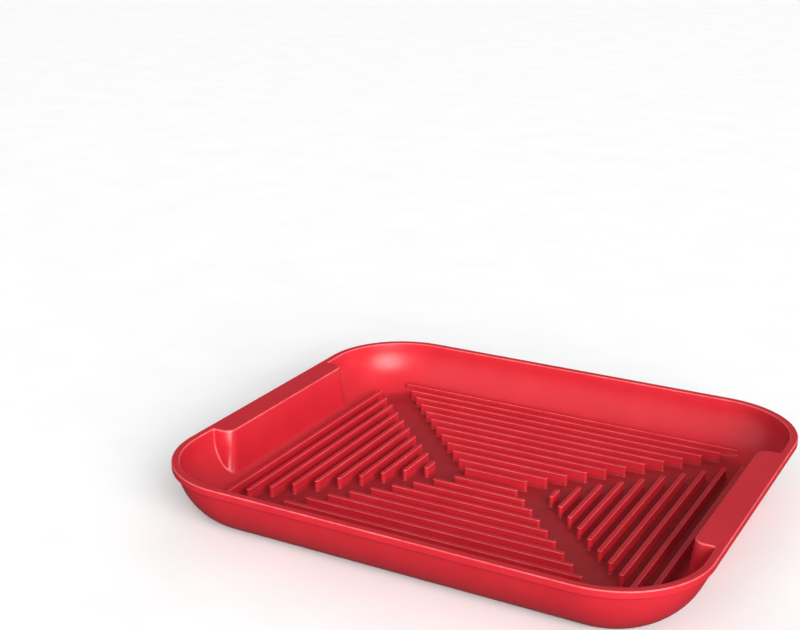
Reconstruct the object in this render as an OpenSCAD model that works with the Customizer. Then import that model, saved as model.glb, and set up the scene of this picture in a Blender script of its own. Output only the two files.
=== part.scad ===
// Developing tray for one sheet of photographic paper.
// A single thin-walled plastic moulding, drawn here as the regions it is formed of: the flat
// floor, the curved walls and corners, the bead round the rim, two hollow side grips and four
// fields of print-supporting ribs. Neighbouring regions meet face to face.
// Millimetres. +X along the length, +Y towards the back, +Z up. The origin is the centre of
// the underside, on the surface that the tray stands on.

/* [Tray] */
// Length over the rim, along X
tray_length = 330; // [326:1:350]
// Width over the rim, along Y
tray_width = 281; // [278:1:300]
// Height from the table to the top of the rim
tray_height = 35; // [33:0.5:40]
// Plan radius of the rim's outer edge at the corners
corner_radius = 56; // [50:1:62]

/* [Floor and walls] */
// Thickness of the flat floor
floor_thickness = 2.6; // [2:0.1:3.2]
// Radius of the cove between floor and wall, inside
cove_radius = 30; // [26:0.5:31]
// Draft of the short straight part of the inner wall, in degrees
wall_draft = 5; // [2:0.5:8]
// Radius of the outside of the wall, in cross-section
outer_wall_radius = 43; // [38:1:60]
// How far the edge of the flat underside lies inside the rim's outer edge
base_inset = 24; // [22:0.5:26]
// How far the rim bead stands out over the wall below it
rim_overhang = 2.6; // [1.8:0.1:3]

/* [Rim] */
// Width of the rim's flat top
rim_width = 4.8; // [4.4:0.1:6]
// Depth of the rim bead
rim_depth = 4.6; // [3.5:0.1:6]
// Rounding of the rim's edges
rim_rounding = 0.8; // [0.3:0.1:1.2]

/* [Grips] */
// Distance from the rim's outer edge to the top of a grip's inner face
grip_depth = 17.7; // [15:0.1:19]
// Length of a grip at the top, along Y
grip_length = 135; // [110:1:140]
// Plan radius of the grip's two inner corners
grip_corner_radius = 7; // [4:0.5:10]
// Wall thickness of the grips
grip_wall = 2.6; // [2:0.1:3]
// Draft of the grip's faces, in degrees
grip_draft = 5.4; // [2:0.1:6]

/* [Ribs] */
// Height of the ribs above the floor
rib_height = 7; // [4:0.5:9]
// Thickness of a rib
rib_width = 3.2; // [2:0.1:4]
// Distance from one rib to the next
rib_pitch = 10; // [8:0.25:10]
// Number of ribs in the front field, and in the back field
long_rib_count = 12; // [4:1:12]
// Distance from the centre line to the first rib of the front and back fields
long_rib_start = 7.25; // [5:0.25:7.5]
// Half the length of the first rib of the front and back fields
long_rib_half = 21.6; // [15:0.2:22]
// Growth of that half length from one rib to the next
long_rib_growth = 9.2; // [7:0.1:9.2]
// Number of ribs in the left field, and in the right field
short_rib_count = 10; // [4:1:10]
// Distance from the centre line to the first rib of the left and right fields
short_rib_start = 42.5; // [38:0.25:43]
// Half the length of the first rib of the left and right fields
short_rib_half = 6; // [4:0.5:7]
// Growth of that half length from one rib to the next
short_rib_growth = 10; // [8:0.25:10]

/* [Hidden] */
$fn = 96;

plastic_red = [0.88, 0.17, 0.2];
arc_steps = 14;
edge_steps = 4;
overshoot = 5;
slice = 0.01;

// Straight runs between the corners
long_run = tray_length - 2 * corner_radius;
short_run = tray_width - 2 * corner_radius;

// Wall sections are drawn in two dimensions: the first is the distance inwards from the rim's
// outer edge, the second is the height above the table.
rim_underside = tray_height - rim_depth;
cove_centre_z = floor_thickness + cove_radius;
function inner_wall_inset(z) = rim_width + tan(wall_draft) * (tray_height - z);
cove_centre_inset = inner_wall_inset(cove_centre_z) + cove_radius / cos(wall_draft);

// The outside of the wall is an arc from the rim bead's underside to the edge of the base
outer_chord = [base_inset - rim_overhang, -rim_underside];
outer_chord_length = norm(outer_chord);
outer_chord_middle = [rim_overhang + outer_chord[0] / 2, rim_underside / 2];
outer_chord_offset = sqrt(pow(outer_wall_radius, 2) - pow(outer_chord_length / 2, 2));
outer_centre = outer_chord_middle
    + outer_chord_offset * [-outer_chord[1], outer_chord[0]] / outer_chord_length;
outer_base_angle = atan2(outer_centre[1], outer_centre[0] - base_inset);
outer_rim_angle = atan2(outer_centre[1] - rim_underside, outer_centre[0] - rim_overhang);

// Points of an arc that bulges down and outwards, from one angle below the horizontal to another
function bowl_arc(centre, radius, from, to, steps) = [
    for (i = [0:steps])
        let (a = from + (to - from) * i / steps)
        [centre[0] - radius * cos(a), centre[1] - radius * sin(a)]
];

// Points of a rounded edge, counted anticlockwise
function edge_arc(centre, radius, from, to) = [
    for (i = [0:edge_steps])
        let (a = from + (to - from) * i / edge_steps)
        centre + radius * [cos(a), sin(a)]
];

inner_profile = bowl_arc(
    [cove_centre_inset, cove_centre_z], cove_radius, wall_draft, 90, arc_steps
);
outer_profile = bowl_arc(
    outer_centre, outer_wall_radius, outer_base_angle, outer_rim_angle, arc_steps
);

wall_section = concat(
    [[inner_wall_inset(rim_underside), rim_underside]],
    inner_profile,
    [[cove_centre_inset, 0]],
    outer_profile
);

rim_section = concat(
    edge_arc([rim_rounding, tray_height - rim_rounding], rim_rounding, 180, 90),
    edge_arc([rim_width - rim_rounding, tray_height - rim_rounding], rim_rounding, 90, 0),
    [[inner_wall_inset(rim_underside), rim_underside]],
    edge_arc([rim_rounding, rim_underside + rim_rounding], rim_rounding, 270, 180)
);

// Everything outside and below the inner surface of the wall
outside_section = concat(
    [[inner_wall_inset(rim_underside), rim_underside]],
    inner_profile,
    [
        [cove_centre_inset, 0],
        [0, 0],
        [0, rim_underside]
    ]
);

// Everything from the outside of the wall inwards, up to the rim bead and beside it
body_section = concat(
    [
        [rim_width, tray_height],
        [cove_centre_inset, tray_height],
        [cove_centre_inset, 0]
    ],
    outer_profile,
    [[inner_wall_inset(rim_underside), rim_underside]]
);

// A section drawn out along Y, as the left side of the tray
module left_run(section, run) {
    translate([-tray_length / 2, 0, 0])
        rotate([90, 0, 0])
            linear_extrude(run, center = true)
                polygon(section);
}

// A section drawn out along X, as the front of the tray
module front_run(section, run) {
    translate([0, -tray_width / 2, 0])
        rotate([90, 0, 90])
            linear_extrude(run, center = true)
                polygon(section);
}

// A section turned about a corner's centre, as the front left corner of the tray
module corner_turn(section) {
    translate([corner_radius - tray_length / 2, corner_radius - tray_width / 2, 0])
        rotate([0, 0, 180])
            rotate_extrude(angle = 90)
                polygon([for (p = section) [corner_radius - p[0], p[1]]]);
}

// Flips what is drawn for the front or the left to the back or the right
module place(right = false, back = false) {
    mirror([right ? 1 : 0, 0, 0])
        mirror([0, back ? 1 : 0, 0])
            color(plastic_red)
                children();
}

// ---- Floor ----

module floor_panel() {
    inside_length = tray_length - 2 * cove_centre_inset;
    inside_width = tray_width - 2 * cove_centre_inset;
    color(plastic_red)
        linear_extrude(floor_thickness) {
            square([long_run, inside_width], center = true);
            square([inside_length, short_run], center = true);
            for (x = [-1, 1], y = [-1, 1])
                translate([x * long_run / 2, y * short_run / 2])
                    circle(corner_radius - cove_centre_inset);
        }
}

// ---- Grips ----

// How far a drafted grip face leans into the tray at a height
function grip_lean(z) = tan(grip_draft) * (tray_height - z);

// One horizontal slice of the left grip's volume
module grip_slice(z, shrink) {
    radius = grip_corner_radius - min(shrink, grip_corner_radius - 1);
    face_x = grip_depth + grip_lean(z) - shrink - tray_length / 2;
    end_y = grip_length / 2 + grip_lean(z) - shrink;
    translate([0, 0, z]) {
        for (side = [-1, 1])
            translate([face_x - radius, side * (end_y - radius), 0])
                cylinder(r = radius, h = slice, $fn = 32);
        translate([-tray_length / 2 - overshoot, -end_y, 0])
            cube([overshoot, 2 * end_y, slice]);
    }
}

// The left grip's volume. Shrunk by the wall thickness it is the finger space below the lip.
module grip_volume(shrink, bottom, top) {
    hull() {
        grip_slice(bottom, shrink);
        grip_slice(top - slice, shrink);
    }
}

module grip_body() {
    grip_volume(0, -overshoot, tray_height);
}

module finger_space() {
    grip_volume(grip_wall, -2 * overshoot, tray_height - grip_wall);
}

// The left grip as one hollow shell, open below and to the outside
module grip_shell() {
    intersection() {
        difference() {
            grip_body();
            finger_space();
        }
        left_run(body_section, short_run);
    }
}

// The part of the left side between two heights and two places along Y
module left_slab(y_from, y_to, z_from, z_to) {
    translate([-tray_length / 2, y_from, z_from])
        cube([2 * cove_centre_inset, y_to - y_from, z_to - z_from]);
}

lip_underside = tray_height - grip_wall;
cheek_start = grip_length / 2 - grip_corner_radius;

module grip_lip() {
    intersection() {
        grip_shell();
        left_slab(-short_run / 2, short_run / 2, lip_underside, tray_height);
    }
}

module grip_face() {
    intersection() {
        grip_shell();
        left_slab(-cheek_start, cheek_start, 0, lip_underside);
    }
}

module grip_cheek() {
    intersection() {
        grip_shell();
        left_slab(-short_run / 2, -cheek_start, 0, lip_underside);
    }
}

// ---- Side walls, interrupted by the grips ----

// Everything in front of the drafted plane of the left grip's front end
module before_grip() {
    translate([-tray_length / 2, -grip_length / 2, tray_height])
        rotate([-grip_draft, 0, 0])
            translate([-overshoot, -tray_width, -2 * tray_height])
                cube([2 * cove_centre_inset, tray_width, 3 * tray_height]);
}

module side_wall() {
    intersection() {
        left_run(wall_section, short_run);
        before_grip();
    }
}

// The low strip of cove at the foot of the grip's inner face
module sill() {
    difference() {
        left_run(wall_section, short_run);
        before_grip();
        mirror([0, 1, 0])
            before_grip();
        grip_body();
    }
}

// ---- Ribs ----

// A rib along X, with round ends
module rib(half_length) {
    straight = half_length - rib_width / 2;
    translate([0, 0, floor_thickness])
        linear_extrude(rib_height) {
            square([2 * straight, rib_width], center = true);
            for (end = [-1, 1])
                translate([end * straight, 0])
                    circle(d = rib_width);
        }
}

// The front field. Its outermost ribs run over the foot of the cove, which shortens them below.
module rib_field_front() {
    difference() {
        for (i = [0:long_rib_count - 1])
            translate([0, -long_rib_start - i * rib_pitch, 0])
                rib(long_rib_half + i * long_rib_growth);
        front_run(outside_section, long_run);
        corner_turn(outside_section);
        mirror([1, 0, 0])
            corner_turn(outside_section);
    }
}

// The left field. Its outermost rib runs over the foot of the cove.
module rib_field_left() {
    difference() {
        for (i = [0:short_rib_count - 1])
            translate([-short_rib_start - i * rib_pitch, 0, 0])
                rotate([0, 0, 90])
                    rib(short_rib_half + i * short_rib_growth);
        left_run(outside_section, short_run);
        corner_turn(outside_section);
        mirror([0, 1, 0])
            corner_turn(outside_section);
    }
}

// ---- The tray ----

floor_panel();

place() front_run(wall_section, long_run);  // wall_front
place(back = true) front_run(wall_section, long_run);  // wall_back
place() side_wall();  // wall_left_front
place(back = true) side_wall();  // wall_left_back
place(right = true) side_wall();  // wall_right_front
place(right = true, back = true) side_wall();  // wall_right_back
place() sill();  // sill_left
place(right = true) sill();  // sill_right

place() corner_turn(wall_section);  // corner_front_left
place(right = true) corner_turn(wall_section);  // corner_front_right
place(back = true) corner_turn(wall_section);  // corner_back_left
place(right = true, back = true) corner_turn(wall_section);  // corner_back_right

place() front_run(rim_section, long_run);  // rim_front
place(back = true) front_run(rim_section, long_run);  // rim_back
place() left_run(rim_section, short_run);  // rim_left
place(right = true) left_run(rim_section, short_run);  // rim_right
place() corner_turn(rim_section);  // rim_corner_front_left
place(right = true) corner_turn(rim_section);  // rim_corner_front_right
place(back = true) corner_turn(rim_section);  // rim_corner_back_left
place(right = true, back = true) corner_turn(rim_section);  // rim_corner_back_right

place() grip_lip();  // grip_left_lip
place() grip_face();  // grip_left_face
place() grip_cheek();  // grip_left_cheek_front
place(back = true) grip_cheek();  // grip_left_cheek_back
place(right = true) grip_lip();  // grip_right_lip
place(right = true) grip_face();  // grip_right_face
place(right = true) grip_cheek();  // grip_right_cheek_front
place(right = true, back = true) grip_cheek();  // grip_right_cheek_back

place() rib_field_front();  // ribs_front
place(back = true) rib_field_front();  // ribs_back
place() rib_field_left();  // ribs_left
place(right = true) rib_field_left();  // ribs_right
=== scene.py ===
"""Looks of the developing tray: one seamless moulded shell and four fields of ribs.

The shell's upper surface and its underside are each described as a signed distance in
millimetres: the formed surfaces, with the fillets and rounded edges between them. Outlines that
follow the rim, the grips and the ribs give a mesh its plan, the distances give it its heights
and its shading normals.
"""

import math

import bmesh
import bpy
import numpy as np
from mathutils import Matrix, Vector
from mathutils.geometry import delaunay_2d_cdt


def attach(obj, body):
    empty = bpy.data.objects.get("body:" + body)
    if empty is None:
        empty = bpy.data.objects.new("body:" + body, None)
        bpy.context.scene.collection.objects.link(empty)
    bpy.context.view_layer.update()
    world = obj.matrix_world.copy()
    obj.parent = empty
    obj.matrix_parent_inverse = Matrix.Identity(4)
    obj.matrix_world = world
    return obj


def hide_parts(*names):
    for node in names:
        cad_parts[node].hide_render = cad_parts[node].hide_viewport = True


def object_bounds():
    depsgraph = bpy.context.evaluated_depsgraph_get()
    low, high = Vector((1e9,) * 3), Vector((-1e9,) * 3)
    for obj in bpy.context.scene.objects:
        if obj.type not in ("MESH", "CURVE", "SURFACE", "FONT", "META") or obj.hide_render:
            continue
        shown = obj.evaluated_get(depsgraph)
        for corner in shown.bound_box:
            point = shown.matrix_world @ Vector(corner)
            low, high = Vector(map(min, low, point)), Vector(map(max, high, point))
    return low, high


MM = 0.001

# ---- Sizes of the tray, in millimetres and degrees ----

CORNER_RADIUS = 56.0
FLOOR_THICKNESS = 2.6
COVE_RADIUS = 30.0
WALL_DRAFT = math.radians(5)
OUTER_WALL_RADIUS = 43.0
BASE_INSET = 24.0
BASE_ROUNDING = 1.0

RIM_WIDTH = 4.8
RIM_DEPTH = 4.6
RIM_OVERHANG = 2.6
RIM_ROUNDING = 0.8

GRIP_DEPTH = 17.7
GRIP_LENGTH = 135.0
GRIP_CORNER_RADIUS = 7.0
GRIP_WALL = 2.6
GRIP_DRAFT = math.radians(5.4)
GRIP_FILLET = 1.5
POCKET_FILLET = 1.0

RIB_HEIGHT = 7.0
RIB_WIDTH = 3.2
RIB_DRAFT = math.radians(1)
RIB_ROUNDING = 0.4
RIB_FILLET = 1.0
RIB_PITCH = 10.0
RIB_SUNK = 0.3
LONG_RIBS = {"count": 12, "start": 7.25, "half": 21.6, "growth": 9.2}
SHORT_RIBS = {"count": 10, "start": 42.5, "half": 6.0, "growth": 10.0}

QUARTER_TURN = math.pi / 2

# ---- Fineness of the meshes: steps round each curve, and lengths in millimetres ----

CORNER_STEPS = 24
GRIP_CORNER_STEPS = 12
EDGE_STEPS = 6
COVE_STEPS = 21
OUTER_WALL_STEPS = 14
RIB_END_STEPS = 10
STATION_SPACING = 8.0
FINE_SPACING = 0.5

# The widest line round a grip's foot stays just short of the fillet's end.
GRIP_FOOT_REACH = 0.98 * GRIP_FILLET

# A triangle whose middle lies further than this from the surface is divided, pass after pass.
LARGEST_STRAY = 0.05
DIVIDING_PASSES = 7

# Points closer than these are one: in a quarter's plan, and where quarters meet.
PLAN_TOLERANCE = 1e-5
SEAM_TOLERANCE = 1e-4

# The search for a height starts this far clear of the tray, at a place pulled in by a hair so
# that it can't fall outside the rim.
CLEAR_OF_TRAY = 1.0
JUST_INSIDE = 1 - 1e-6
HEIGHT_PASSES = 40

# A line round a grip and the height it is taken at depend on each other, and settle in this many
# passes. A slope is measured over twice the step.
LEAN_PASSES = 30
GRADIENT_STEP = 0.01

# ---- Looks: colours in linear red, green and blue, each as the two ends of a mottling ----

UPPER_REDS = ((0.50, 0.0145, 0.025), (0.53, 0.0170, 0.028))
# Painted shade: a deeper red for the plastic at and below the floor's top, standing in for the shade
# there.
PAINTED_SHADE_REDS = ((0.30, 0.0130, 0.018), (0.33, 0.0150, 0.021))
# Paler edges: partly wear, partly a painted highlight along the rounded top edges.
WORN_AND_HIGHLIGHT_REDS = ((0.66, 0.09, 0.10), (0.72, 0.14, 0.15))
BOARD_WHITES = ((0.94, 0.94, 0.94), (0.97, 0.97, 0.97))

# Most of a noise texture's values lie between these.
NOISE_LOW, NOISE_HIGH = 0.3, 0.7

# Pale wear, partly a painted highlight, comes in and goes out as an edge turns up from its side
# to its top, over these upward parts of its normal. It reaches this many roundings below the top.
WEAR_AND_HIGHLIGHT_COMES_IN = (0.10, 0.40)
WEAR_AND_HIGHLIGHT_GOES_OUT = (0.90, 0.995)
WEAR_AND_HIGHLIGHT_DEPTH = 1.6

# The places of the colours among a Mix node's sockets.
MIX_COLOURS_IN = (6, 7)
MIX_COLOUR_OUT = 2

# Half the width of the floor board, in metres, and how far each side of level the room changes
# from its lower brightness to its upper one.
BOARD_HALF = 12.0
HORIZON_BLUR = 0.1


# ---- Rounded joints between surfaces ----


def rounded_overlap(a, b, radius):
    """Signed distance to what two solids share, with the edge between them rounded."""
    past_edge = np.hypot(np.maximum(a + radius, 0), np.maximum(b + radius, 0))
    return np.minimum(np.maximum(a, b) + radius, 0) + past_edge - radius


def filleted_union(a, b, radius):
    """Signed distance to two solids joined, with a fillet in the corner between them."""
    in_corner = np.hypot(np.maximum(radius - a, 0), np.maximum(radius - b, 0))
    return np.maximum(np.minimum(a, b) - radius, 0) - in_corner + radius


# ---- The tray's surfaces ----


class Tray:
    """The tray's formed surfaces. Distances are below zero in the plastic."""

    def __init__(self, low, high):
        self.half_length = (high.x - low.x) / 2 / MM
        self.half_width = (high.y - low.y) / 2 / MM
        self.height = (high.z - low.z) / MM
        self.rim_underside = self.height - RIM_DEPTH
        self.lip_underside = self.height - GRIP_WALL
        self.cove_z = FLOOR_THICKNESS + COVE_RADIUS
        self.cove_inset = self.wall_inset(self.cove_z) + COVE_RADIUS / math.cos(WALL_DRAFT)
        chord = Vector((BASE_INSET - RIM_OVERHANG, -self.rim_underside))
        middle = Vector((RIM_OVERHANG, self.rim_underside)) + chord / 2
        reach = math.sqrt(OUTER_WALL_RADIUS**2 - (chord.length / 2) ** 2)
        centre = middle + reach * Vector((-chord.y, chord.x)) / chord.length
        self.outer_inset = centre.x
        self.outer_z = centre.y

    def wall_inset(self, z):
        """How far inside the rim's outer edge the basin's drafted wall is at one height."""
        return RIM_WIDTH + math.tan(WALL_DRAFT) * (self.height - z)

    def inset(self, x, y):
        """How far a plan point lies inside the rim's outer edge."""
        past_x = np.abs(x) - (self.half_length - CORNER_RADIUS)
        past_y = np.abs(y) - (self.half_width - CORNER_RADIUS)
        turned = np.hypot(np.maximum(past_x, 0), np.maximum(past_y, 0))
        return CORNER_RADIUS - turned - np.minimum(np.maximum(past_x, past_y), 0)

    def basin(self, inset, z):
        """Distance from the drafted wall, the cove and the floor."""
        wall = (inset - self.wall_inset(z)) * math.cos(WALL_DRAFT)
        out, down = self.cove_inset - inset, self.cove_z - z
        cove = COVE_RADIUS - np.hypot(out, down)
        angle = np.arctan2(down, out)
        floor = z - FLOOR_THICKNESS
        return np.where(angle < WALL_DRAFT, wall, np.where(angle > QUARTER_TURN, floor, cove))

    def basin_height(self, inset):
        """Height of the basin's surface at one distance inside the rim's outer edge."""
        out = np.clip(self.cove_inset - inset, 0, COVE_RADIUS)
        cove = self.cove_z - np.sqrt(COVE_RADIUS**2 - out**2)
        wall = self.height - (inset - RIM_WIDTH) / math.tan(WALL_DRAFT)
        return np.where(out < COVE_RADIUS * math.cos(WALL_DRAFT), cove, np.minimum(wall, self.height))

    def outer_wall(self, inset, z):
        """Distance from the rounded outside of the walls."""
        out = np.minimum(inset - self.outer_inset, 0)
        down = np.minimum(z - self.outer_z, 0)
        return np.hypot(out, down) - OUTER_WALL_RADIUS

    def base_edge_insets(self):
        """Where the rounded lower edge starts on the wall, and where it ends on the flat base."""
        on_wall = math.sqrt(OUTER_WALL_RADIUS**2 - (self.outer_z - BASE_ROUNDING) ** 2)
        on_base = math.sqrt((OUTER_WALL_RADIUS - BASE_ROUNDING) ** 2 - self.outer_z**2)
        return self.outer_inset - on_wall, self.outer_inset - on_base

    def outer_wall_height(self, inset):
        """Height of the rounded outside of the walls, down to the flat base."""
        out = np.clip(self.outer_inset - inset, 0, OUTER_WALL_RADIUS)
        return np.maximum(self.outer_z - np.sqrt(OUTER_WALL_RADIUS**2 - out**2), 0)

    def grip_lean(self, z):
        """How far a grip's drafted sides have spread at one height."""
        return math.tan(GRIP_DRAFT) * (self.height - z)

    def grip_sides(self, x, y, z, shrink):
        """Distance from the drafted sides of a grip, or of the finger pocket inside it."""
        radius = GRIP_CORNER_RADIUS - shrink
        growth = self.grip_lean(z) - shrink
        past_face = self.half_length - np.abs(x) - (GRIP_DEPTH + growth - radius)
        past_end = np.abs(y) - (GRIP_LENGTH / 2 + growth - radius)
        turned = np.hypot(np.maximum(past_face, 0), np.maximum(past_end, 0))
        flat = np.minimum(np.maximum(past_face, past_end), 0)
        return (turned + flat - radius) * math.cos(GRIP_DRAFT)

    def upper(self, x, y, z):
        """Distance from everything that is seen from above, without the ribs."""
        inset = self.inset(x, y)
        grips = self.grip_sides(x, y, z, 0)
        sides = filleted_union(self.basin(inset, z), grips, GRIP_FILLET)
        topped = rounded_overlap(sides, z - self.height, RIM_ROUNDING)
        return rounded_overlap(topped, -inset, RIM_ROUNDING)

    def under(self, x, y, z):
        """Distance from everything that is seen from below."""
        inset = self.inset(x, y)
        bead = rounded_overlap(-inset, self.rim_underside - z, RIM_ROUNDING)
        wall = rounded_overlap(self.outer_wall(inset, z), -z, BASE_ROUNDING)
        body = filleted_union(bead, wall, RIM_ROUNDING)
        pocket_sides = self.grip_sides(x, y, z, GRIP_WALL)
        pocket = rounded_overlap(pocket_sides, z - self.lip_underside, POCKET_FILLET)
        hollowed = rounded_overlap(body, -pocket, RIM_ROUNDING)
        past_bead = self.half_length - np.abs(x) - self.wall_inset(self.rim_underside)
        bead_over_pocket = rounded_overlap(bead, past_bead, RIM_ROUNDING)
        lip = filleted_union(self.lip_underside - z, bead_over_pocket, RIM_ROUNDING)
        return np.minimum(hollowed, lip)


def solve_height(distance, x, y, air, plastic):
    """The heights where a distance passes through zero, between one in the air and one in plastic."""
    air = np.full(len(x), float(air))
    plastic = np.full(len(x), float(plastic))
    for _ in range(HEIGHT_PASSES):
        middle = (air + plastic) / 2
        outside = distance(x, y, middle) > 0
        air = np.where(outside, middle, air)
        plastic = np.where(outside, plastic, middle)
    return (air + plastic) / 2


def gradient(distance, points):
    """Unit directions in which a distance grows: a surface's normals."""
    slopes = []
    for axis in range(3):
        ahead, behind = points.copy(), points.copy()
        ahead[:, axis] += GRADIENT_STEP
        behind[:, axis] -= GRADIENT_STEP
        slopes.append(distance(*ahead.T) - distance(*behind.T))
    slopes = np.array(slopes).T
    return slopes / np.linalg.norm(slopes, axis=1)[:, None]


# ---- Outlines in plan, all in the quarter where x and y are positive ----


def arc_offsets(radius, turn, steps):
    """Plan distances of the points of a rounded edge from where the sharp edge would be,
    from its flat side to its steep side."""
    tangent = radius * math.tan(turn / 2)
    return [tangent - radius * math.sin(turn * i / steps) for i in range(steps + 1)]


def stations(start, end, spacing=STATION_SPACING):
    """Evenly spaced numbers from start to end, both included."""
    count = max(2, round(abs(end - start) / spacing) + 1)
    return np.linspace(start, end, count)


def rim_outline(tray, inset):
    """A line at one distance inside the rim's outer edge, from the X axis to the Y axis."""
    centre_x = tray.half_length - CORNER_RADIUS
    centre_y = tray.half_width - CORNER_RADIUS
    turn = np.linspace(0, QUARTER_TURN, CORNER_STEPS + 1)
    side = stations(0, centre_y)[:-1]
    front = stations(centre_x, 0)[1:]
    radius = CORNER_RADIUS - inset
    x = [np.full(len(side), tray.half_length - inset), centre_x + radius * np.cos(turn), front]
    y = [side, centre_y + radius * np.sin(turn), np.full(len(front), tray.half_width - inset)]
    return np.concatenate(x), np.concatenate(y)


def grip_outline(tray, surface_height, shrink, offset, outer_end):
    """A line round a grip at one distance from its drafted sides, taken at each point's height on
    the surface. It runs from the X axis along the face and the end, out to outer_end."""
    centre_x = tray.half_length - GRIP_DEPTH + GRIP_CORNER_RADIUS
    centre_y = GRIP_LENGTH / 2 - GRIP_CORNER_RADIUS
    face_y = stations(0, centre_y)[:-1]
    turn = np.linspace(0, QUARTER_TURN, GRIP_CORNER_STEPS + 1)
    end_x = stations(centre_x, tray.half_length - outer_end, FINE_SPACING)[1:]
    face, corner, end = np.ones(len(face_y)), np.ones(len(turn)), np.ones(len(end_x))
    from_x = np.concatenate([centre_x * face, centre_x * corner, end_x])
    from_y = np.concatenate([face_y, centre_y * corner, centre_y * end])
    away_x = -np.concatenate([face, np.cos(turn), 0 * end])
    away_y = np.concatenate([0 * face, np.sin(turn), end])
    lean_x = -np.concatenate([face, corner, 0 * end])
    lean_y = np.concatenate([0 * face, corner, end])
    reach = GRIP_CORNER_RADIUS - shrink + offset
    lean = 0 * from_x
    for _ in range(LEAN_PASSES):
        x = from_x + lean * lean_x + reach * away_x
        y = from_y + lean * lean_y + reach * away_y
        lean = tray.grip_lean(surface_height(tray.inset(x, y)))
    return x, y


def notch_outline(tray, offset):
    """The small concave arc where the rim's inner edge turns into a grip's end."""
    centre_x = tray.half_length - RIM_WIDTH - GRIP_FILLET
    centre_y = GRIP_LENGTH / 2 + GRIP_FILLET
    turn = np.linspace(-QUARTER_TURN, 0, EDGE_STEPS + 1)
    radius = GRIP_FILLET - offset
    return centre_x + radius * np.cos(turn), centre_y + radius * np.sin(turn)


def bowl_insets(centre_inset, radius, start, end, steps):
    """Insets of evenly turned points on a curved wall."""
    return [centre_inset - radius * math.cos(a) for a in np.linspace(start, end, steps + 1)]


def quarter_round(radius):
    """Distances from a rounded edge's side, of points evenly turned from its top to its side."""
    return [radius - radius * math.sin(a) for a in np.linspace(0, QUARTER_TURN, EDGE_STEPS + 1)]


def upper_outlines(tray):
    """Plan lines that follow every edge and curve of the upper surface."""
    inner_edge = [-o for o in arc_offsets(RIM_ROUNDING, QUARTER_TURN - WALL_DRAFT, EDGE_STEPS)]
    cove = bowl_insets(tray.cove_inset, COVE_RADIUS, WALL_DRAFT, QUARTER_TURN, COVE_STEPS)

    def flat_top(inset):
        return np.full(len(inset), tray.height)

    lines = [rim_outline(tray, i) for i in quarter_round(RIM_ROUNDING) + cove]
    lines += [rim_outline(tray, RIM_WIDTH + o) for o in inner_edge]
    lines += [grip_outline(tray, flat_top, 0, o, RIM_WIDTH + GRIP_FILLET) for o in inner_edge]
    lines += [grip_outline(tray, tray.basin_height, 0, o, RIM_WIDTH)
              for o in quarter_round(GRIP_FOOT_REACH)]
    lines += [notch_outline(tray, o) for o in inner_edge]
    return lines


def under_outlines(tray):
    """Plan lines that follow every edge and curve of the underside."""
    rim_angle = math.asin((tray.outer_z - tray.rim_underside) / OUTER_WALL_RADIUS)
    base_angle = math.asin(tray.outer_z / OUTER_WALL_RADIUS)
    wall = bowl_insets(tray.outer_inset, OUTER_WALL_RADIUS, rim_angle, base_angle, OUTER_WALL_STEPS)
    base_edge = np.linspace(*tray.base_edge_insets(), EDGE_STEPS + 1)
    step = [-o for o in arc_offsets(RIM_ROUNDING, QUARTER_TURN - rim_angle, EDGE_STEPS)]
    mouth = arc_offsets(RIM_ROUNDING, QUARTER_TURN, EDGE_STEPS)
    ceiling = [-o for o in arc_offsets(POCKET_FILLET, QUARTER_TURN - GRIP_DRAFT, EDGE_STEPS)]

    def lip(inset):
        return np.full(len(inset), tray.lip_underside)

    lines = [rim_outline(tray, i) for i in quarter_round(RIM_ROUNDING) + wall[1:-1] + list(base_edge)]
    lines += [rim_outline(tray, RIM_OVERHANG + o) for o in step]
    lines += [grip_outline(tray, lip, GRIP_WALL, o, RIM_WIDTH) for o in ceiling]
    lines += [grip_outline(tray, tray.outer_wall_height, GRIP_WALL, -o, RIM_ROUNDING) for o in mouth]
    bead_line = tray.wall_inset(tray.rim_underside)
    y = stations(0, GRIP_LENGTH / 2)
    for offset in np.linspace(-RIM_ROUNDING, RIM_ROUNDING, EDGE_STEPS + 1):
        lines.append((np.full(len(y), tray.half_length - bead_line - offset), y))
    return lines


# ---- Meshes ----


def quarter_surface(lines, distance, air, plastic):
    """Points and triangles of one quarter of a surface, with plan lines as edges. A triangle whose
    middle strays from the surface is divided across its longest side."""
    points = [Vector((0.0, 0.0))]
    edges = []
    for x, y in lines:
        first = len(points)
        points += [Vector(p) for p in zip(x.tolist(), y.tolist())]
        edges += [(i, i + 1) for i in range(first, len(points) - 1)]
    for _ in range(DIVIDING_PASSES):
        plan, _, triangles, _, _, _ = delaunay_2d_cdt(points, edges, [], 0, PLAN_TOLERANCE)
        x, y = np.array([tuple(p) for p in plan]).T
        z = solve_height(distance, x * JUST_INSIDE, y * JUST_INSIDE, air, plastic)
        surface = np.array([x, y, z]).T
        corners = surface[np.array(triangles)]
        strays = corners[np.abs(distance(*corners.mean(axis=1).T)) > LARGEST_STRAY]
        following = np.roll(strays, -1, axis=1)
        longest = np.argmax(np.linalg.norm(following - strays, axis=2), axis=1)
        middles = (strays + following)[np.arange(len(strays)), longest] / 2
        points += [Vector(middle[:2]) for middle in middles]
    return surface, triangles


def add_surface(shape, lines, distance, air, plastic):
    """Adds one side of the shell to a bmesh: a quarter of it, mirrored."""
    surface, triangles = quarter_surface(lines, distance, air, plastic)
    upwards = air > plastic
    for mirror_x, mirror_y in ((1, 1), (-1, 1), (-1, -1), (1, -1)):
        corners = [shape.verts.new((mirror_x * x, mirror_y * y, z)) for x, y, z in surface]
        keeps_order = (mirror_x * mirror_y > 0) == upwards
        for triangle in triangles:
            order = triangle if keeps_order else reversed(triangle)
            shape.faces.new([corners[i] for i in order])


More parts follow.
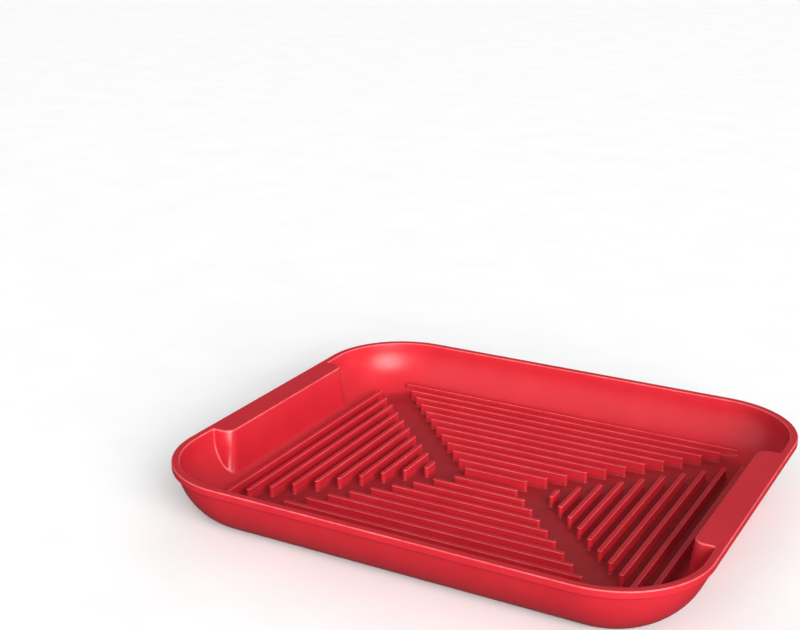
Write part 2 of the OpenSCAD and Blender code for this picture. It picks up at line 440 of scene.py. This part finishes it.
def finish_mesh(name, shape, normals):
    """Turns a bmesh in millimetres into a smooth object with the given normals at its vertices."""
    mesh = bpy.data.meshes.new(name)
    shape.to_mesh(mesh)
    shape.free()
    mesh.transform(Matrix.Scale(MM, 4))
    mesh.shade_smooth()
    mesh.normals_split_custom_set_from_vertices(normals)
    piece = bpy.data.objects.new(name, mesh)
    bpy.context.scene.collection.objects.link(piece)
    return piece


def make_shell(tray):
    """The floor, walls, rim and grips as one closed, seamless shell."""
    shape = bmesh.new()
    below, above = -CLEAR_OF_TRAY, tray.height + CLEAR_OF_TRAY
    add_surface(shape, upper_outlines(tray), tray.upper, above, 0)
    add_surface(shape, under_outlines(tray), tray.under, below, above)
    bmesh.ops.remove_doubles(shape, verts=shape.verts, dist=SEAM_TOLERANCE)
    outer_band = [e for e in shape.edges if e.is_boundary]
    bmesh.ops.bridge_loops(shape, edges=outer_band)

    def nearest_side(x, y, z):
        upper, under = tray.upper(x, y, z), tray.under(x, y, z)
        return np.where(np.abs(upper) < np.abs(under), upper, under)

    points = np.array([tuple(v.co) for v in shape.verts])
    return finish_mesh("moulded_shell", shape, gradient(nearest_side, points))


def rib_stations(half_length):
    """Points along a rib's axis and the directions away from them, once round the rib."""
    straight = half_length - RIB_WIDTH / 2
    along = stations(-straight, straight)
    turn = np.linspace(0, math.pi, RIB_END_STEPS + 1)[1:-1]
    flat, end = np.ones(len(along)), np.ones(len(turn))
    axis_x = np.concatenate([along, straight * end, along[::-1], -straight * end])
    away_x = np.concatenate([0 * flat, np.sin(turn), 0 * flat, -np.sin(turn)])
    away_y = np.concatenate([-flat, -np.cos(turn), flat, np.cos(turn)])
    return axis_x, away_x, away_y, len(along)


def rib_distance(tray, centre, half_length, along_x):
    """Distance from the basin with one rib standing in it."""
    straight = half_length - RIB_WIDTH / 2

    def distance(x, y, z):
        along, across = (x - centre[0], y - centre[1]) if along_x else (y - centre[1], x - centre[0])
        from_axis = np.hypot(np.maximum(np.abs(along) - straight, 0), across)
        half_width = RIB_WIDTH / 2 - math.tan(RIB_DRAFT) * (z - FLOOR_THICKNESS)
        top = z - FLOOR_THICKNESS - RIB_HEIGHT
        rib = rounded_overlap(from_axis - half_width, top, RIB_ROUNDING)
        return filleted_union(tray.basin(tray.inset(x, y), z), rib, RIB_FILLET)

    return distance


def cap_ladder(shape, ring, side_count):
    """Closes a rib's ring of vertices with faces from side to side and one at each round end."""
    far_start = side_count + RIB_END_STEPS - 1
    near = ring[:side_count]
    far = ring[far_start : far_start + side_count][::-1]
    for i in range(side_count - 1):
        shape.faces.new([near[i], near[i + 1], far[i + 1], far[i]])
    shape.faces.new(ring[side_count - 1 : far_start + 1])
    shape.faces.new(ring[far_start + side_count - 1 :] + ring[:1])


def rib_reaches():
    """How far the points of a rib's section lie from its axis, from its foot to its top."""
    top_half = RIB_WIDTH / 2 - math.tan(RIB_DRAFT) * RIB_HEIGHT
    turn = np.linspace(0, QUARTER_TURN, EDGE_STEPS)
    foot = [RIB_WIDTH / 2 + RIB_FILLET * (1 - math.sin(a)) for a in turn]
    edge = arc_offsets(RIB_ROUNDING, QUARTER_TURN - RIB_DRAFT, EDGE_STEPS)
    return foot + [top_half - o for o in reversed(edge)]


def add_rib(shape, tray, centre, half_length, along_x):
    """Adds one rib to a bmesh: rings from its foot, sunk in the floor, up to its flat top. The
    normals of its vertices are returned."""
    distance = rib_distance(tray, centre, half_length, along_x)
    axis, away_x, away_y, side_count = rib_stations(half_length)
    rings, normals = [], []
    for reach in rib_reaches():
        along, across = axis + reach * away_x, reach * away_y
        x, y = (along, across) if along_x else (across, along)
        x, y = x + centre[0], y + centre[1]
        z = solve_height(distance, x, y, tray.height, 0)
        rings.append([shape.verts.new(p) for p in zip(x, y, z)])
        normals.append(gradient(distance, np.array([x, y, z]).T))
    sunk = [shape.verts.new(v.co - Vector((0, 0, RIB_SUNK))) for v in rings[0]]
    rings.insert(0, sunk)
    normals.append(normals[0])
    for lower, upper in zip(rings, rings[1:]):
        for i in range(len(axis)):
            j = (i + 1) % len(axis)
            shape.faces.new([lower[i], lower[j], upper[j], upper[i]])
    cap_ladder(shape, rings[-1], side_count)
    cap_ladder(shape, rings[0], side_count)
    return np.concatenate(normals)


def make_rib_field(name, tray, ribs, side, along_x):
    """One field of parallel ribs that grow longer towards the wall."""
    shape = bmesh.new()
    normals = []
    for i in range(ribs["count"]):
        away = side * (ribs["start"] + i * RIB_PITCH)
        centre = (0.0, away) if along_x else (away, 0.0)
        half_length = ribs["half"] + i * ribs["growth"]
        normals.append(add_rib(shape, tray, centre, half_length, along_x))
    bmesh.ops.recalc_face_normals(shape, faces=shape.faces)
    return finish_mesh(name, shape, np.concatenate(normals))


# ---- Materials ----


class Finish:
    """A procedural material in the making. Its patterns are fixed to the piece, in millimetres."""

    def __init__(self, name):
        self.material = bpy.data.materials.new(name)
        self.material.use_nodes = True
        self.nodes = self.material.node_tree.nodes
        self.shader = self.nodes["Principled BSDF"]
        self.where = self.nodes.new("ShaderNodeTexCoord").outputs["Object"]

    def link(self, output, target):
        """Joins one node's output to another's input."""
        self.material.node_tree.links.new(output, target)

    def set(self, socket, output):
        """Feeds one socket of the shader."""
        self.link(output, self.shader.inputs[socket])

    def noise(self, size, detail):
        """A noise texture whose blotches are about one size across."""
        texture = self.nodes.new("ShaderNodeTexNoise")
        texture.inputs["Scale"].default_value = 1 / (size * MM)
        texture.inputs["Detail"].default_value = detail
        self.link(self.where, texture.inputs["Vector"])
        return texture.outputs["Fac"]

    def mapped(self, value, start, end, at_start, at_end):
        """Maps start..end smoothly to at_start..at_end."""
        node = self.nodes.new("ShaderNodeMapRange")
        node.interpolation_type = "SMOOTHSTEP"
        self.link(value, node.inputs["Value"])
        node.inputs["From Min"].default_value = start
        node.inputs["From Max"].default_value = end
        node.inputs["To Min"].default_value = at_start
        node.inputs["To Max"].default_value = at_end
        return node.outputs["Result"]

    def varied(self, size, detail, low, high):
        """A noise that wanders over low..high."""
        return self.mapped(self.noise(size, detail), NOISE_LOW, NOISE_HIGH, low, high)

    def mixed(self, factor, first, second):
        """Two colours mixed by a factor. A colour is three numbers or another node's output."""
        mix = self.nodes.new("ShaderNodeMix")
        mix.data_type = "RGBA"
        self.link(factor, mix.inputs["Factor"])
        for place, colour in zip(MIX_COLOURS_IN, (first, second)):
            if isinstance(colour, tuple):
                mix.inputs[place].default_value = (*colour, 1)
            else:
                self.link(colour, mix.inputs[place])
        return mix.outputs[MIX_COLOUR_OUT]

    def product(self, *factors):
        """Several outputs multiplied together."""
        result = factors[0]
        for factor in factors[1:]:
            multiply = self.nodes.new("ShaderNodeMath")
            multiply.operation = "MULTIPLY"
            self.link(result, multiply.inputs[0])
            self.link(factor, multiply.inputs[1])
            result = multiply.outputs["Value"]
        return result

    def height_part(self, vector):
        """The upward part of a place or a direction."""
        parts = self.nodes.new("ShaderNodeSeparateXYZ")
        self.link(vector, parts.inputs["Vector"])
        return parts.outputs["Z"]

    def bump(self, height, depth, strength, below=None):
        """A bump of some depth, on top of another one."""
        node = self.nodes.new("ShaderNodeBump")
        node.inputs["Strength"].default_value = strength
        node.inputs["Distance"].default_value = depth * MM
        self.link(height, node.inputs["Height"])
        if below:
            self.link(below, node.inputs["Normal"])
        return node.outputs["Normal"]


def worn_and_highlit_edges(finish, edge_height, rounding):
    """1 on the rounded edges at one height, patchily, and 0 elsewhere: the paler edges, partly wear
    and partly a painted highlight.
    """
    geometry = finish.nodes.new("ShaderNodeNewGeometry")
    facing_up = finish.height_part(geometry.outputs["Normal"])
    off_sides = finish.mapped(facing_up, *WEAR_AND_HIGHLIGHT_COMES_IN, 0, 1)
    off_tops = finish.mapped(facing_up, *WEAR_AND_HIGHLIGHT_GOES_OUT, 1, 0)
    fading = (edge_height - WEAR_AND_HIGHLIGHT_DEPTH * rounding) * MM
    full = (edge_height - rounding) * MM
    near_edge = finish.mapped(finish.height_part(finish.where), fading, full, 0, 1)
    patches = finish.varied(size=4, detail=3, low=0.55, high=1)
    return finish.product(off_sides, off_tops, near_edge, patches)


def red_plastic(name, edge_height, rounding):
    """Satin red plastic: faint mottling, moulded grain, painted shade as a deeper red at the level of
    the floor, and paler upper edges that are partly wear and partly a painted highlight."""
    finish = Finish(name)
    mottling = finish.varied(size=22, detail=4, low=0, high=1)
    upper_red = finish.mixed(mottling, *UPPER_REDS)
    # Painted shade: the plastic at and just above the floor's top turns a deeper red, on the floor,
    # at the ribs' feet and round the foot of the outer walls.
    painted_shade_red = finish.mixed(mottling, *PAINTED_SHADE_REDS)
    floor_top = FLOOR_THICKNESS * MM
    height = finish.height_part(finish.where)
    clear_of_painted_shade = finish.mapped(height, floor_top, 2 * floor_top, 0, 1)
    body = finish.mixed(clear_of_painted_shade, painted_shade_red, upper_red)
    # Paler upper edges of the rim, grips and ribs: partly wear, partly a painted highlight along
    # their roundings.
    worn_and_highlight_red = finish.mixed(mottling, *WORN_AND_HIGHLIGHT_REDS)
    wear_and_highlight = worn_and_highlit_edges(finish, edge_height, rounding)
    finish.set("Base Color", finish.mixed(wear_and_highlight, body, worn_and_highlight_red))
    finish.set("Roughness", finish.varied(size=5, detail=5, low=0.31, high=0.38))
    grain = finish.bump(finish.noise(size=0.6, detail=3), depth=0.015, strength=0.6)
    waviness = finish.bump(finish.noise(size=16, detail=1), depth=0.04, strength=0.5, below=grain)
    finish.set("Normal", waviness)
    return finish.material


def pale_floor():
    """Smooth matt board, almost white and very slightly uneven in tone."""
    finish = Finish("pale_floor")
    tone = finish.varied(size=60, detail=3, low=0, high=1)
    finish.set("Base Color", finish.mixed(tone, *BOARD_WHITES))
    finish.set("Roughness", finish.varied(size=9, detail=3, low=0.6, high=0.75))
    return finish.material


# ---- Studio ----


def make_camera():
    """The camera of the photograph: a little above the tray, in front of its right end."""
    camera_data = bpy.data.cameras.new("camera")
    camera = bpy.data.objects.new("camera", camera_data)
    bpy.context.scene.collection.objects.link(camera)
    camera_data.lens = 61.593
    camera_data.shift_x = -0.0067
    camera_data.shift_y = -0.0264
    camera_data.clip_start = 0.01
    place = Vector((0.3229, -0.7051, 0.3732))
    right = Vector((0.8780, 0.4786, 0.0031)).normalized()
    forward = Vector((-0.4556, 0.8378, -0.3009)).normalized()
    up = right.cross(forward)
    turned = Matrix((right, up, -forward)).transposed()
    camera.matrix_world = Matrix.Translation(place) @ turned.to_4x4()
    bpy.context.scene.camera = camera


def make_floor():
    """A wide pale board. The tray gets no light from it, so its sides keep their own red."""
    mesh = bpy.data.meshes.new("studio_floor")
    ends = ((-BOARD_HALF, -BOARD_HALF), (BOARD_HALF, -BOARD_HALF))
    corners = [(x, y, 0) for x, y in ends] + [(-x, -y, 0) for x, y in ends]
    mesh.from_pydata(corners, [], [(0, 1, 2, 3)])
    floor = bpy.data.objects.new("studio_floor", mesh)
    bpy.context.scene.collection.objects.link(floor)
    mesh.materials.append(pale_floor())
    floor.visible_glossy = False
    floor.visible_diffuse = False


def add_broad_light(name, azimuth, elevation, width_degrees, strength, mirrored=True):
    """A broad, even studio light that reaches the whole floor alike. Azimuth 0 is in front of the
    tray and 90 is to its right."""
    light_data = bpy.data.lights.new(name, "SUN")
    light_data.angle = math.radians(width_degrees)
    light_data.energy = strength
    light = bpy.data.objects.new(name, light_data)
    bpy.context.scene.collection.objects.link(light)
    around, up = math.radians(azimuth), math.radians(elevation)
    level = math.cos(up)
    away = Vector((math.sin(around) * level, -math.cos(around) * level, math.sin(up)))
    light.location = away
    light.rotation_euler = away.to_track_quat("Z", "Y").to_euler()
    light.visible_glossy = mirrored


def make_room(above, below, mirrored, seen):
    """The white room round the tray: how brightly it lights things from above and from below,
    how brightly glossy surfaces mirror it, and how bright it is behind the floor."""
    world = bpy.data.worlds.new("studio")
    world.use_nodes = True
    bpy.context.scene.world = world
    nodes, links = world.node_tree.nodes, world.node_tree.links
    direction = nodes.new("ShaderNodeSeparateXYZ")
    links.new(nodes.new("ShaderNodeTexCoord").outputs["Generated"], direction.inputs["Vector"])
    strength = nodes.new("ShaderNodeMapRange")
    strength.inputs["From Min"].default_value = -HORIZON_BLUR
    strength.inputs["From Max"].default_value = HORIZON_BLUR
    strength.inputs["To Min"].default_value = below
    strength.inputs["To Max"].default_value = above
    links.new(direction.outputs["Z"], strength.inputs["Value"])
    result = strength.outputs["Result"]
    rays = nodes.new("ShaderNodeLightPath")
    for kind, brightness in (("Is Glossy Ray", mirrored), ("Is Camera Ray", seen)):
        mix = nodes.new("ShaderNodeMix")
        links.new(rays.outputs[kind], mix.inputs["Factor"])
        links.new(result, mix.inputs["A"])
        mix.inputs["B"].default_value = brightness
        result = mix.outputs["Result"]
    background = nodes["Background"]
    background.inputs["Color"].default_value = (1, 1, 1, 1)
    links.new(result, background.inputs["Strength"])


def make_lights():
    """A key light and a low one from the front right, with weaker ones from the left and behind."""
    add_broad_light("key", azimuth=53, elevation=20, width_degrees=44, strength=3.6)
    add_broad_light("low_front", azimuth=32, elevation=9, width_degrees=60, strength=2.8,
                    mirrored=False)
    add_broad_light("fill", azimuth=-45, elevation=30, width_degrees=70, strength=0.55)
    add_broad_light("back", azimuth=175, elevation=25, width_degrees=60, strength=0.5,
                    mirrored=False)
    make_room(above=0.38, below=0.25, mirrored=0.08, seen=0.95)


# ---- Build ----

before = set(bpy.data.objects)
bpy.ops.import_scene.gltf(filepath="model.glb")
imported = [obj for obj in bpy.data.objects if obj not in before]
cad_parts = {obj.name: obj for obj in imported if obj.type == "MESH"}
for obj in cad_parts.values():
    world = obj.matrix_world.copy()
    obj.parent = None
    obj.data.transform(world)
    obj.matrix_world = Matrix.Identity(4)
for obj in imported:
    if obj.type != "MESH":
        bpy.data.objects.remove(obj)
cad_low, cad_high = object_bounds()
bpy.context.scene.view_settings.view_transform = "Standard"
make_camera()
tray = Tray(cad_low, cad_high)

shell = make_shell(tray)
rib_nodes = {"ribs_front", "ribs_back", "ribs_left", "ribs_right"}
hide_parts(*sorted(set(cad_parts) - rib_nodes))
pieces = [shell]
for direction, ribs, side, along_x in (
    ("front", LONG_RIBS, -1, True),
    ("back", LONG_RIBS, 1, True),
    ("left", SHORT_RIBS, -1, False),
    ("right", SHORT_RIBS, 1, False),
):
    field = make_rib_field(f"moulded_ribs_{direction}", tray, ribs, side, along_x)
    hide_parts(f"ribs_{direction}")
    pieces.append(field)

shell_plastic = red_plastic("red_plastic_shell", tray.height, RIM_ROUNDING)
rib_plastic = red_plastic("red_plastic_ribs", FLOOR_THICKNESS + RIB_HEIGHT, RIB_ROUNDING)
for piece in pieces:
    piece.data.materials.append(shell_plastic if piece is shell else rib_plastic)
    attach(piece, "root")

make_floor()
make_lights()
